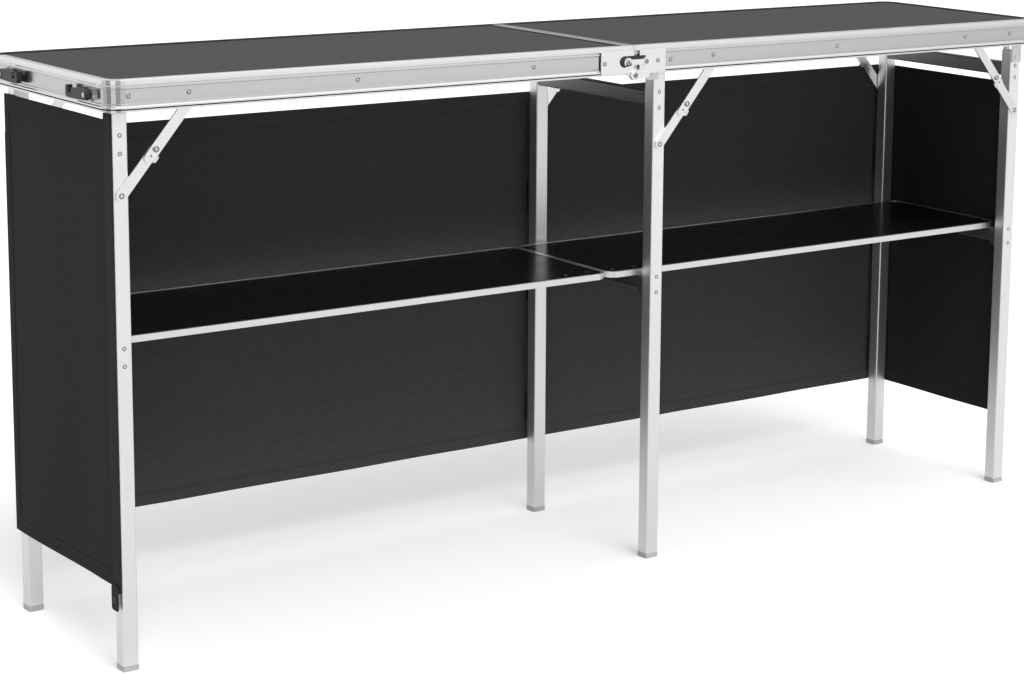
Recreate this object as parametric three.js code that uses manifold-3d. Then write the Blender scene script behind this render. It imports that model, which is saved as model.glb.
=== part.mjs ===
// Folding portable bar: a two-part counter on three hinged leg frames, with a lift-out shelf,
// folding knee braces and a fabric skirt round the customer side.
// Millimetres. X runs along the bar, Y towards the customer side, Z up; the floor is Z = 0 and
// the centre joint of the counter is at X = 0.
import * as THREE from 'three';
import { mergeVertices } from 'three/addons/utils/BufferGeometryUtils.js';
import Module from 'manifold-3d';

const wasm = await Module();
wasm.setup();

// Driving dimensions
const HEIGHT = 900;
const HALF_LENGTH = 945;
const DEPTH = 410;
const GAP = 0.3;
const PIN_SIDES = 12;

// Counter
const RIM_HEIGHT = 48;
const RIM_BOTTOM = HEIGHT - RIM_HEIGHT;
const CORNER_RADIUS = 28;
const RIM_WEB_INSET = 4;
const RIM_FLANGE = 10;
const RIM_FOOT = 9;
const BOARD_TOP = HEIGHT - 1.1;
const TONGUE_TOP = HEIGHT - 3.4;
const BOARD_BOTTOM = HEIGHT - 8.7;
const JOINT_GAP = 0.4;
const RAIL_FLANGE_LEFT = 18;
const RAIL_FLANGE_RIGHT = 6;
const RAIL_WALL = 2.6;

// Leg frames
const LEG = 25;
const LEG_CORNER = 2.5;
const END_OVERHANG = 15;
const SIDE_OVERHANG = 22;
const LEG_Y = DEPTH / 2 - SIDE_OVERHANG - LEG / 2;
const LEG_OUTER_Y = LEG_Y + LEG / 2;
const LEG_INNER_Y = LEG_Y - LEG / 2;
const OUTER_LEG_X = HALF_LENGTH - END_OVERHANG - LEG / 2;
const MIDDLE_LEG_X = 72;
const HIGH_PIVOT = 858;
const LOW_PIVOT = 828;
const MIDDLE_PIVOT = 848;
const MIDDLE_PIVOT_SHIFT = -16.5;
const LUG_RADIUS = 6.5;
const CAP_HEIGHT = 8;
const CAP_PROUD = 0.3;
const LEG_HEAD = 11;
const PIVOT_PIN_RADIUS = 4;
const PIN_HEAD = 1.2;
const CHEEK = 2;
const CHEEK_CLEARANCE = 0.4;
const MOUNT_ROOF = 3;
const MOUNT_TAB = 9.5;
const ARM_INNER_Y = LEG_INNER_Y + 14;
const ARM_THICKNESS = 2.2;
const CROSSBAR_BOTTOM = 791;
const CROSSBAR_HEIGHT = 25;
const CROSSBAR_WIDTH = 20;

// Knee braces
const BRACE_LEG_Z = 727;
const BRACE_TOP_X = 118;
const BRACE_TOP_Z = 868;
const BRACE_OFFSET = 13;
const LINK_WIDTH = 17;
const LINK_THICKNESS = 2.5;
const LINK_PIN_RADIUS = 3;
const LOWER_LINK_Y = LEG_OUTER_Y + 0.5;
const UPPER_LINK_Y = LOWER_LINK_Y + LINK_THICKNESS + 0.4;
const STOP_OVERRUN = 16;
const KNEE_RIVET = 1.2;

// Shelf
const SHELF_UNDERSIDE = 497.2;
const SHELF_THICKNESS = 9;
const SHELF_HALF_DEPTH = 144;
const SHELF_HALF_LENGTH = HALF_LENGTH - END_OVERHANG - 3;
const SHELF_CORNER = 22;
const SHELF_JOINT = 0.6;
const SHELF_RAIL_HEIGHT = 25;
const SHELF_RAIL_WIDTH = 20;
const SHELF_RAIL_END = LEG_INNER_Y - GAP;
const LEDGE_REACH = 13;
const LEDGE_THICKNESS = 2.5;
const LEDGE_HEIGHT = 12;
const LEDGE_GAP = 0.5;
const STRAP_Y = 104;
const STRAP_REACH = 36;
const STRAP_BARREL = 4;

// Skirt
const SKIRT_THICKNESS = 2;
const SKIRT_BOTTOM = 132;
const SKIRT_TOP_FAR = 776;
const SKIRT_TOP_LEFT = 838;
const SKIRT_WAVE = 0.6;
const SKIRT_X = HALF_LENGTH - END_OVERHANG + GAP;
const SKIRT_Y = UPPER_LINK_Y + LINK_THICKNESS + KNEE_RIVET + 0.6;

// Centre hinges, latches and handle
const PLATE_THICKNESS = 2;
const HINGE_EYE_RADIUS = 9;
const HINGE_EYE_Z = RIM_BOTTOM - 1;
const HINGE_PLATE_REACH = 68;
const LOCK_PIN_LEFT = -15;
const LOCK_PIN_RIGHT = 23;
const LOCK_Z = HEIGHT - 27;
const LATCH_PIVOT_Y = 148;
const LATCH_LENGTH = 62;
const LATCH_Z = HEIGHT - 26;
const LATCH_STUD = 4;
const FITTING_DEPTH = 12;
const HANDLE_HALF_WIDTH = 58;
const HANDLE_DROP = 44;
const HANDLE_ROD = 4;
const HANDLE_CORNER = 10;
const HANDLE_PIVOT_Z = HEIGHT - 18;

const bar = new THREE.Group();

// Materials
const metal = (color, roughness) => new THREE.MeshStandardMaterial({ color, roughness, metalness: 0.9 });
const matt = (color, roughness) => new THREE.MeshStandardMaterial({ color, roughness, metalness: 0 });
const ALUMINIUM = () => metal(0xd2d3d5, 0.35);
const STEEL = () => metal(0xb9bbbe, 0.3);
const LAMINATE = () => matt(0x4a4b4d, 0.55);
const SHELF_BLACK = () => matt(0x121212, 0.35);
const FABRIC = () => matt(0x2e2e2f, 0.9);
const PLASTIC = () => matt(0x151515, 0.5);
const CAP_GREY = () => matt(0xb4b5b7, 0.6);

function add(name, geometry, material) {
  const mesh = new THREE.Mesh(geometry, material);
  mesh.name = name;
  bar.add(mesh);
}

// Adds a piece of the customer side and its mirror image on the near side
function addPair(name, geometry, material) {
  add(`near_${name}`, mirrorY(geometry), material());
  add(`far_${name}`, geometry, material());
}

// Geometry helpers

function bare(geometry) {
  const copy = new THREE.BufferGeometry();
  copy.setAttribute('position', geometry.getAttribute('position').clone());
  if (geometry.index) copy.setIndex(geometry.index.clone());
  return mergeVertices(copy, 1e-4);
}

function toSolid(geometry) {
  const welded = bare(geometry);
  const vertProperties = new Float32Array(welded.getAttribute('position').array);
  const triVerts = new Uint32Array(welded.index.array);
  return new wasm.Manifold(new wasm.Mesh({ numProp: 3, vertProperties, triVerts }));
}

function fromSolid(solid) {
  const { vertProperties, triVerts } = solid.getMesh();
  const geometry = new THREE.BufferGeometry();
  geometry.setAttribute('position', new THREE.BufferAttribute(new Float32Array(vertProperties), 3));
  geometry.setIndex(new THREE.BufferAttribute(new Uint32Array(triVerts), 1));
  return geometry;
}

const join = (...geometries) => fromSolid(geometries.map(toSolid).reduce((a, b) => a.add(b)));
const cut = (geometry, ...tools) => fromSolid(tools.map(toSolid).reduce((a, b) => a.subtract(b), toSolid(geometry)));

function mirrorY(geometry) {
  const copy = bare(geometry).scale(1, -1, 1);
  copy.index.array.reverse();
  return copy;
}

function box(x0, x1, y0, y1, z0, z1) {
  const geometry = new THREE.BoxGeometry(x1 - x0, y1 - y0, z1 - z0);
  return geometry.translate((x0 + x1) / 2, (y0 + y1) / 2, (z0 + z1) / 2);
}

const extruded = (shape, depth) =>
  new THREE.ExtrudeGeometry(shape, { depth, bevelEnabled: false, curveSegments: 4 });

// Shape drawn in X and Y, thick in Z
const slabZ = (shape, z0, z1) => extruded(shape, z1 - z0).translate(0, 0, z0);
// Shape drawn in X and Z, thick in Y
const slabY = (shape, y0, y1) => extruded(shape, y1 - y0).rotateX(Math.PI / 2).translate(0, y1, 0);
// Shape drawn in Y and Z, thick in X
const CYCLE = new THREE.Matrix4().set(0, 0, 1, 0, 1, 0, 0, 0, 0, 1, 0, 0, 0, 0, 0, 1);
const slabX = (shape, x0, x1) => extruded(shape, x1 - x0).applyMatrix4(CYCLE).translate(x0, 0, 0);

function pinY(x, z, radius, y0, y1) {
  const geometry = new THREE.CylinderGeometry(radius, radius, y1 - y0, PIN_SIDES);
  return geometry.translate(x, (y0 + y1) / 2, z);
}

function pinX(y, z, radius, x0, x1) {
  const geometry = new THREE.CylinderGeometry(radius, radius, x1 - x0, PIN_SIDES).rotateZ(Math.PI / 2);
  return geometry.translate((x0 + x1) / 2, y, z);
}

function roundedRectangle(x0, y0, x1, y1, r) {
  const shape = new THREE.Shape();
  shape.absarc(x1 - r, y0 + r, r, -Math.PI / 2, 0);
  shape.absarc(x1 - r, y1 - r, r, 0, Math.PI / 2);
  shape.absarc(x0 + r, y1 - r, r, Math.PI / 2, Math.PI);
  shape.absarc(x0 + r, y0 + r, r, Math.PI, Math.PI * 1.5);
  shape.closePath();
  return shape;
}

function polygon(points) {
  return new THREE.Shape(points.map(([a, b]) => new THREE.Vector2(a, b)));
}

// Flat bar with round ends between two pin centres, running past the second by an overrun
function linkShape(a, b, width, overrun = 0) {
  const angle = Math.atan2(b.y - a.y, b.x - a.x);
  const end = new THREE.Vector2(b.x + overrun * Math.cos(angle), b.y + overrun * Math.sin(angle));
  const shape = new THREE.Shape();
  shape.absarc(end.x, end.y, width / 2, angle - Math.PI / 2, angle + Math.PI / 2);
  shape.absarc(a.x, a.y, width / 2, angle + Math.PI / 2, angle + Math.PI * 1.5);
  shape.closePath();
  return shape;
}

function withHole(shape, x, y, radius) {
  const hole = new THREE.Path();
  hole.absarc(x, y, radius, 0, Math.PI * 2, true);
  shape.holes.push(hole);
  return shape;
}

// Sweeps a closed profile of [inset, z] points along stations of {x, y, nx, ny} with outward normals
function sweep(stations, profile) {
  const count = profile.length;
  const positions = [];
  for (const { x, y, nx, ny } of stations) {
    for (const [inset, z] of profile) positions.push(x - nx * inset, y - ny * inset, z);
  }
  const index = [];
  for (let i = 0; i + 1 < stations.length; i += 1) {
    for (let j = 0; j < count; j += 1) {
      const k = (j + 1) % count;
      const [a, b, c, d] = [i * count + j, i * count + k, (i + 1) * count + k, (i + 1) * count + j];
      index.push(a, c, b, a, d, c);
    }
  }
  const flat = profile.map(([inset, z]) => new THREE.Vector2(inset, z));
  const last = (stations.length - 1) * count;
  for (const [a, b, c] of THREE.ShapeUtils.triangulateShape(flat, [])) {
    index.push(a, b, c);
    index.push(last + c, last + b, last + a);
  }
  const geometry = new THREE.BufferGeometry();
  geometry.setAttribute('position', new THREE.Float32BufferAttribute(positions, 3));
  geometry.setIndex(index);
  return geometry;
}

// Counter: extruded rims, laminate boards and the rails at the joint

// Left half's outer line, from the near end of the joint round both corners to its far end
function rimStations() {
  const steps = 6;
  const stations = [{ x: -JOINT_GAP, y: -DEPTH / 2, nx: 0, ny: -1 }];
  for (const [side, from] of [[-1, -Math.PI / 2], [1, Math.PI]]) {
    for (let i = 0; i <= steps; i += 1) {
      const angle = from - (Math.PI / 2) * (i / steps);
      const [nx, ny] = [Math.cos(angle), Math.sin(angle)];
      stations.push({
        x: -HALF_LENGTH + CORNER_RADIUS + CORNER_RADIUS * nx,
        y: side * (DEPTH / 2 - CORNER_RADIUS) + CORNER_RADIUS * ny,
        nx,
        ny,
      });
    }
  }
  stations.push({ x: -JOINT_GAP, y: DEPTH / 2, nx: 0, ny: 1 });
  return stations;
}

// Two proud lips with a recessed band between, a groove for the board and an inward foot
const RIM_PROFILE = [
  [0, RIM_BOTTOM], [0, RIM_BOTTOM + 7], [1.2, RIM_BOTTOM + 8.5], [1.2, RIM_BOTTOM + 11],
  [2.2, RIM_BOTTOM + 12], [2.2, HEIGHT - 15], [1.2, HEIGHT - 14], [1.2, HEIGHT - 10.5],
  [0, HEIGHT - 9], [0, HEIGHT - 1.2], [1.2, HEIGHT], [RIM_FLANGE, HEIGHT],
  [RIM_FLANGE, TONGUE_TOP + GAP], [RIM_WEB_INSET, TONGUE_TOP + GAP],
  [RIM_WEB_INSET, BOARD_BOTTOM - GAP], [RIM_FOOT, BOARD_BOTTOM - GAP],
  [RIM_FOOT, BOARD_BOTTOM - GAP - 2], [RIM_WEB_INSET, BOARD_BOTTOM - GAP - 2],
  [RIM_WEB_INSET, RIM_BOTTOM + 2], [RIM_FOOT, RIM_BOTTOM + 2], [RIM_FOOT, RIM_BOTTOM],
].reverse();

// Angle at the joint end of a half, drawn for the left half and let into the rim's ends
function jointRail(flange) {
  const reach = DEPTH / 2 - RIM_WEB_INSET + 1;
  const profile = polygon([
    [-JOINT_GAP - RAIL_WALL, RIM_BOTTOM], [-JOINT_GAP - RAIL_WALL, TONGUE_TOP + GAP],
    [-JOINT_GAP - flange, TONGUE_TOP + GAP], [-JOINT_GAP - flange, HEIGHT], [-JOINT_GAP, HEIGHT],
    [-JOINT_GAP, RIM_BOTTOM],
  ]);
  return slabY(profile, -reach, reach);
}

function counter() {
  const rim = sweep(rimStations(), RIM_PROFILE);
  const turned = (geometry) => geometry.clone().rotateZ(Math.PI);
  const leftRim = join(rim, jointRail(RAIL_FLANGE_LEFT), ...latchPivots());
  add('left_rim', leftRim, ALUMINIUM());
  const rightRim = join(turned(rim), turned(jointRail(RAIL_FLANGE_RIGHT)), ...keepers(), ...handleMounts());
  add('right_rim', rightRim, ALUMINIUM());

  add('left_board', counterBoard(RAIL_FLANGE_LEFT), LAMINATE());
  add('right_board', turned(counterBoard(RAIL_FLANGE_RIGHT)), LAMINATE());
}

// Board of the left half: a tongue in the rim's groove and a face between the rim's lips
function counterBoard(flange) {
  const layer = (inset, end, bottom, top) => {
    const outline = roundedRectangle(
      -HALF_LENGTH + inset, -DEPTH / 2 + inset, HALF_LENGTH, DEPTH / 2 - inset, CORNER_RADIUS - inset);
    const half = box(-HALF_LENGTH, -end, -DEPTH / 2, DEPTH / 2, bottom, top);
    return fromSolid(toSolid(slabZ(outline, bottom - 1, top + 1)).intersect(toSolid(half)));
  };
  const tongue = layer(RIM_WEB_INSET + GAP, JOINT_GAP + RAIL_WALL + GAP, BOARD_BOTTOM, TONGUE_TOP);
  const face = layer(RIM_FLANGE + GAP, JOINT_GAP + flange + GAP, TONGUE_TOP - 1, BOARD_TOP);
  return join(tongue, face);
}

// Leg frames: side is the direction that the frame folds towards, +1 for right

function legFrame(name, x, pivotZ, side, pivotShift = 0) {
  const pivotX = x + pivotShift;
  const tube = roundedRectangle(x - LEG / 2, LEG_INNER_Y, x + LEG / 2, LEG_OUTER_Y, LEG_CORNER);
  const bore = pinY(pivotX, pivotZ, PIVOT_PIN_RADIUS + 0.6, LEG_INNER_Y - 1, LEG_OUTER_Y + 1);
  const bracePin = pinY(x, BRACE_LEG_Z, LINK_PIN_RADIUS, LEG_OUTER_Y - 3, LOWER_LINK_Y + LINK_THICKNESS - 0.2);
  const post = slabZ(tube, CAP_HEIGHT + GAP, pivotZ + LEG_HEAD);
  const leg = cut(pivotShift ? join(post, pivotLug(x, pivotX, pivotZ)) : post, bore);
  addPair(`${name}_leg`, join(leg, bracePin), ALUMINIUM);

  const cap = roundedRectangle(
    x - LEG / 2 - CAP_PROUD, LEG_INNER_Y - CAP_PROUD, x + LEG / 2 + CAP_PROUD, LEG_OUTER_Y + CAP_PROUD,
    LEG_CORNER);
  addPair(`${name}_foot_cap`, slabZ(cap, 0, CAP_HEIGHT), CAP_GREY);

  const section = roundedRectangle(
    x - CROSSBAR_WIDTH / 2, CROSSBAR_BOTTOM, x + CROSSBAR_WIDTH / 2, CROSSBAR_BOTTOM + CROSSBAR_HEIGHT, 2);
  const reach = LEG_INNER_Y - GAP;
  add(`${name}_top_crossbar`, slabY(section, -reach, reach), ALUMINIUM());

  shelfLedge(name, x);
  legMount(name, x, pivotX, pivotZ, side);
  brace(name, x, side);
}

// Lug on a leg's side, so that the leg folds clear of the standing pair at the end of the half
function pivotLug(x, pivotX, pivotZ) {
  const shape = linkShape(new THREE.Vector2(x, pivotZ), new THREE.Vector2(pivotX, pivotZ), 2 * LUG_RADIUS);
  return slabY(shape, LEG_INNER_Y + 1.5, LEG_OUTER_Y - 1.5);
}

// Ledge riveted to a leg's inner face, which carries the end of a shelf rail
function shelfLedge(name, x) {
  const ledgeTop = SHELF_UNDERSIDE - GAP - SHELF_RAIL_HEIGHT - LEDGE_GAP;
  const wall = LEG_INNER_Y - GAP;
  const profile = polygon([
    [wall, ledgeTop - LEDGE_HEIGHT], [wall, ledgeTop], [wall - LEDGE_REACH, ledgeTop],
    [wall - LEDGE_REACH, ledgeTop - LEDGE_THICKNESS],
  ]);
  const ledge = slabX(profile, x - SHELF_RAIL_WIDTH / 2, x + SHELF_RAIL_WIDTH / 2);
  addPair(`${name}_shelf_ledge`, ledge, ALUMINIUM);
}

// Cross channel under the board with the pins that the legs turn on, held by an outer cheek and
// a round-ended inner tab each, and an arm at each end whose tab carries the top of a brace
function legMount(name, x, pivotX, pivotZ, side) {
  const inner = LEG_INNER_Y - CHEEK_CLEARANCE;
  const outer = LEG_OUTER_Y + CHEEK_CLEARANCE;
  const top = BOARD_BOTTOM - GAP;
  const roof = top - MOUNT_ROOF;
  const bottom = pivotZ - LEG_HEAD + 1;
  const half = [[outer, roof], [outer, bottom], [outer + CHEEK, bottom], [outer + CHEEK, top]];
  const otherHalf = half.map(([y, z]) => [-y, z]).reverse();
  const channel = slabX(polygon([...half, ...otherHalf]), pivotX - LEG / 2 + 0.5, pivotX + LEG / 2 - 0.5);
  const tabShape = new THREE.Shape();
  tabShape.moveTo(pivotX - MOUNT_TAB, top - 1.2);
  tabShape.absarc(pivotX, pivotZ, MOUNT_TAB, Math.PI, Math.PI * 2);
  tabShape.lineTo(pivotX + MOUNT_TAB, top - 1.2);
  tabShape.closePath();
  const tab = slabY(tabShape, inner - CHEEK, inner);
  const pin = pinY(pivotX, pivotZ, PIVOT_PIN_RADIUS, inner - CHEEK - PIN_HEAD, outer + CHEEK + PIN_HEAD);
  const arm = braceArm(x, pivotX, side);
  const end = join(tab, pin, arm);
  add(`${name}_leg_mount`, join(channel, end, mirrorY(end)), STEEL());
}

function braceArm(x, pivotX, side) {
  const headX = x + side * BRACE_TOP_X;
  const tab = UPPER_LINK_Y + LINK_THICKNESS + 0.4;
  const top = BOARD_BOTTOM - GAP - 0.4;
  const ends = [pivotX + side * 5, headX + side * 12].sort((a, b) => a - b);
  const strip = box(ends[0], ends[1], ARM_INNER_Y, tab + 1.2, top - ARM_THICKNESS, top);
  const plate = box(headX - 10, headX + 10, tab, tab + 2, BRACE_TOP_Z - 10, top - 1);
  const pin = pinY(headX, BRACE_TOP_Z, LINK_PIN_RADIUS, UPPER_LINK_Y - 0.2, tab + 1);
  return join(strip, plate, pin);
}

// Two-link knee brace on the outer face of each leg, straight when the leg stands
function brace(name, x, side) {
  const foot = new THREE.Vector2(x, BRACE_LEG_Z);
  const head = new THREE.Vector2(x + side * BRACE_TOP_X, BRACE_TOP_Z);
  const span = foot.distanceTo(head);
  const knee = foot.clone().lerp(head, (span - BRACE_OFFSET) / 2 / span);
  const bore = LINK_PIN_RADIUS + 0.5;

  const lower = withHole(linkShape(foot, knee, LINK_WIDTH), foot.x, foot.y, bore);
  const lowerLink = slabY(lower, LOWER_LINK_Y, LOWER_LINK_Y + LINK_THICKNESS);
  addPair(`${name}_lower_link`, lowerLink, ALUMINIUM);

  const upper = withHole(linkShape(head, knee, LINK_WIDTH, STOP_OVERRUN), head.x, head.y, bore);
  const outerFace = UPPER_LINK_Y + LINK_THICKNESS;
  const kneeRivet = pinY(knee.x, knee.y, LINK_PIN_RADIUS + 1.5, outerFace - 1, outerFace + KNEE_RIVET);
  const upperLink = join(slabY(upper, UPPER_LINK_Y, outerFace), kneeRivet);
  addPair(`${name}_upper_link`, upperLink, ALUMINIUM);
}

// Shelf: two edged boards joined by strap hinges, on three rails

function shelf() {
  const panel = roundedRectangle(
    -SHELF_HALF_LENGTH, -SHELF_HALF_DEPTH, -SHELF_JOINT, SHELF_HALF_DEPTH, SHELF_CORNER);
  const board = slabZ(panel, SHELF_UNDERSIDE, SHELF_UNDERSIDE + SHELF_THICKNESS);
  add('left_shelf_board', board, SHELF_BLACK());
  add('right_shelf_board', board.clone().rotateZ(Math.PI), SHELF_BLACK());

  const railTop = SHELF_UNDERSIDE - GAP;
  for (const [name, x] of [['left', -OUTER_LEG_X], ['middle', MIDDLE_LEG_X], ['right', OUTER_LEG_X]]) {
    const section = roundedRectangle(
      x - SHELF_RAIL_WIDTH / 2, railTop - SHELF_RAIL_HEIGHT, x + SHELF_RAIL_WIDTH / 2, railTop, 2);
    add(`${name}_shelf_rail`, slabY(section, -SHELF_RAIL_END, SHELF_RAIL_END), ALUMINIUM());
  }

  const leaf = roundedRectangle(-STRAP_REACH, STRAP_Y - 10, STRAP_REACH, STRAP_Y + 10, 6);
  const barrel = pinY(0, railTop - STRAP_BARREL, STRAP_BARREL, STRAP_Y - 12, STRAP_Y + 12);
  addPair('shelf_strap_hinge', join(slabZ(leaf, railTop - 2, railTop), barrel), STEEL);
}

// Skirt: fabric on the left end, the customer side and the right end, with shallow upright folds

function skirtPanel(length, bottom, top, waves) {
  const steps = waves * 6;
  const wave = (t) => SKIRT_WAVE * (1 - Math.cos(2 * Math.PI * waves * t)) / 2;
  const face = [];
  for (let i = 0; i <= steps; i += 1) face.push([(length * i) / steps, wave(i / steps)]);
  const back = face.map(([s, d]) => [s, d + SKIRT_THICKNESS - SKIRT_WAVE]).reverse();
  return slabZ(polygon([...face, ...back]), bottom, top);
}

function skirt() {
  const endLength = LEG_OUTER_Y + SKIRT_Y - GAP;
  const left = skirtPanel(endLength, SKIRT_BOTTOM, SKIRT_TOP_LEFT, 3);
  left.rotateZ(Math.PI / 2).translate(-SKIRT_X, -LEG_OUTER_Y, 0);
  add('skirt_left_panel', left, FABRIC());
  const right = skirtPanel(endLength, SKIRT_BOTTOM, SKIRT_TOP_FAR, 3);
  right.rotateZ(-Math.PI / 2).translate(SKIRT_X, SKIRT_Y - GAP, 0);
  add('skirt_right_panel', right, FABRIC());
  const farLength = 2 * (SKIRT_X + SKIRT_THICKNESS);
  const far = skirtPanel(farLength, SKIRT_BOTTOM, SKIRT_TOP_FAR, 7);
  add('skirt_far_panel', far.translate(-farLength / 2, SKIRT_Y, 0), FABRIC());
}

// Centre hinges on the near and far rims, each with a lock link over the joint

function centreHinge() {
  const face = DEPTH / 2 + GAP;
  const back = face + PLATE_THICKNESS;
  const eyeBore = 3.5;
  const plateTop = HEIGHT - 7;
  const plateBottom = RIM_BOTTOM + 3;

  const leftShape = roundedRectangle(-HINGE_PLATE_REACH, plateBottom, -1, plateTop, 2);
  const leftLug = linkShape(
    new THREE.Vector2(0, HINGE_EYE_Z), new THREE.Vector2(-16, HINGE_EYE_Z + 16), 2 * HINGE_EYE_RADIUS);
  const bore = pinY(0, HINGE_EYE_Z, eyeBore, face - 1, back + 8);
  const leftPin = pinY(LOCK_PIN_LEFT, LOCK_Z, 4, face + 1, back + 4.6);
  const leftPlate = join(
    cut(join(slabY(leftShape, face, back), slabY(leftLug, face, back)), bore), leftPin);

  const rightShape = roundedRectangle(HINGE_EYE_RADIUS + 2, plateBottom, HINGE_PLATE_REACH - 3, plateTop, 2);
  const rightLug = linkShape(
    new THREE.Vector2(0, HINGE_EYE_Z), new THREE.Vector2(22, HINGE_EYE_Z + 2), 2 * HINGE_EYE_RADIUS - 1);
  const lugBack = back + GAP;
  const rightPin = pinY(LOCK_PIN_RIGHT, LOCK_Z, 4, face + 1, back + 4.6);
  const step = slabY(roundedRectangle(14, HINGE_EYE_Z + 2, 34, HINGE_EYE_Z + 10, 2), face + 1, lugBack + 1);
  const lugFront = lugBack + PLATE_THICKNESS;
  const rightPlate = join(
    slabY(rightShape, face, back),
    step,
    slabY(rightLug, lugBack, lugFront),
    pinY(0, HINGE_EYE_Z, eyeBore - 0.5, face, lugFront),
    pinY(0, HINGE_EYE_Z, eyeBore + 1.5, lugFront - 1, lugFront + 1.4),
    rightPin);

  const linkFace = back + 0.4;
  const from = new THREE.Vector2(LOCK_PIN_RIGHT, LOCK_Z);
  const to = new THREE.Vector2(LOCK_PIN_LEFT, LOCK_Z);
  const bone = join(
    slabY(linkShape(from, to, 9), linkFace, linkFace + 3),
    pinY(from.x, from.y, 8, linkFace, linkFace + 3),
    pinY(to.x, to.y, 8, linkFace, linkFace + 3));
  const mouth = box(to.x - 4.6, to.x + 6.4, linkFace - 1, linkFace + 4, LOCK_Z - 12, LOCK_Z);
  const lockLink = cut(
    bone,
    pinY(from.x, from.y, 4.6, linkFace - 1, linkFace + 4),
    pinY(to.x, to.y, 4.6, linkFace - 1, linkFace + 4),
    mouth);

  addPair('hinge_left_plate', leftPlate, STEEL);
  addPair('hinge_right_plate', rightPlate, STEEL);
  addPair('lock_link', lockLink, STEEL);
}

// Hook latches on the left end, their keepers and the carrying handle on the right end

// Studs through the left rim that the hooks turn on
function latchPivots() {
  const face = -HALF_LENGTH;
  const stud = join(
    pinX(LATCH_PIVOT_Y, LATCH_Z, 10, face - 2, face + 3),
    pinX(LATCH_PIVOT_Y, LATCH_Z, LATCH_STUD, face - FITTING_DEPTH, face));
  return [stud, mirrorY(stud)];
}

// Headed studs on the right rim that the hooks catch
function keepers() {
  const face = HALF_LENGTH;
  const y = LATCH_PIVOT_Y - LATCH_LENGTH + 15;
  const keeper = join(
    pinX(y, LATCH_Z, 10, face - 3, face + 2),
    pinX(y, LATCH_Z, LATCH_STUD - 0.5, face, face + FITTING_DEPTH - 1),
    pinX(y, LATCH_Z, LATCH_STUD + 1.5, face + FITTING_DEPTH - 2, face + FITTING_DEPTH));
  return [keeper, mirrorY(keeper)];
}

function latches() {
  const tip = LATCH_PIVOT_Y - LATCH_LENGTH;
  const body = linkShape(
    new THREE.Vector2(LATCH_PIVOT_Y, LATCH_Z), new THREE.Vector2(tip + 26, LATCH_Z - 1), 16);
  const finger = polygon([
    [tip + 4, LATCH_Z - 9], [tip + 30, LATCH_Z - 9], [tip + 30, LATCH_Z - 2], [tip + 9, LATCH_Z - 2],
    [tip + 7, LATCH_Z + 9], [tip + 1, LATCH_Z + 9], [tip, LATCH_Z - 5],
  ]);
  const [x0, x1] = [-HALF_LENGTH - FITTING_DEPTH + 1, -HALF_LENGTH - 2.4];
  const eye = pinX(LATCH_PIVOT_Y, LATCH_Z, LATCH_STUD + 0.6, x0 - 1, x1 + 1);
  const hook = cut(join(slabX(body, x0, x1), slabX(finger, x0, x1)), eye);
  addPair('latch_hook', hook, PLASTIC);
}

const HANDLE_X = HALF_LENGTH + FITTING_DEPTH - HANDLE_ROD - 0.5;

// Blocks on the right rim with blind bores for the ends of the handle
function handleMounts() {
  const face = HALF_LENGTH;
  const inner = HANDLE_HALF_WIDTH - 28;
  const outer = HANDLE_HALF_WIDTH - HANDLE_CORNER;
  const block = box(
    face - 3, face + FITTING_DEPTH, inner, outer, HANDLE_PIVOT_Z - 8, HANDLE_PIVOT_Z + 8);
  const bore = pinY(HANDLE_X, HANDLE_PIVOT_Z, HANDLE_ROD + 0.6, inner + 4, outer + 1);
  const mount = cut(block, bore);
  return [mount, mirrorY(mount)];
}

function handle() {
  const grip = HANDLE_PIVOT_Z - HANDLE_DROP;
  const path = new THREE.CurvePath();
  const ends = HANDLE_HALF_WIDTH - 20;
  const at = (y, z) => new THREE.Vector3(HANDLE_X, y, z);
  const route = [
    at(-ends, HANDLE_PIVOT_Z), at(-HANDLE_HALF_WIDTH, HANDLE_PIVOT_Z), at(-HANDLE_HALF_WIDTH, grip),
    at(HANDLE_HALF_WIDTH, grip), at(HANDLE_HALF_WIDTH, HANDLE_PIVOT_Z), at(ends, HANDLE_PIVOT_Z),
  ];
  let from = route[0];
  for (let i = 1; i + 1 < route.length; i += 1) {
    const reach = Math.min(HANDLE_CORNER, route[i].distanceTo(route[i - 1]) / 2, route[i].distanceTo(route[i + 1]) / 2);
    const enter = route[i].clone().lerp(route[i - 1], reach / route[i].distanceTo(route[i - 1]));
    const leave = route[i].clone().lerp(route[i + 1], reach / route[i].distanceTo(route[i + 1]));
    path.add(new THREE.LineCurve3(from, enter));
    path.add(new THREE.QuadraticBezierCurve3(enter, route[i], leave));
    from = leave;
  }
  path.add(new THREE.LineCurve3(from, route[route.length - 1]));
  const section = new THREE.Shape().absarc(0, 0, HANDLE_ROD, 0, Math.PI * 2);
  const rod = new THREE.ExtrudeGeometry(section, { extrudePath: path, steps: 40, curveSegments: 4, bevelEnabled: false });
  add('carry_handle', rod, PLASTIC());
}

counter();
legFrame('left', -OUTER_LEG_X, HIGH_PIVOT, 1);
legFrame('middle', MIDDLE_LEG_X, MIDDLE_PIVOT, 1, MIDDLE_PIVOT_SHIFT);
legFrame('right', OUTER_LEG_X, LOW_PIVOT, -1);
shelf();
skirt();
centreHinge();
latches();
handle();

export default bar;
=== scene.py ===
"""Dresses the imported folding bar: cloth skirt, shelf edging, fasteners, hinge plastics and materials."""
import bpy
import bmesh
import math
from mathutils import Matrix, Vector, noise


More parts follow.
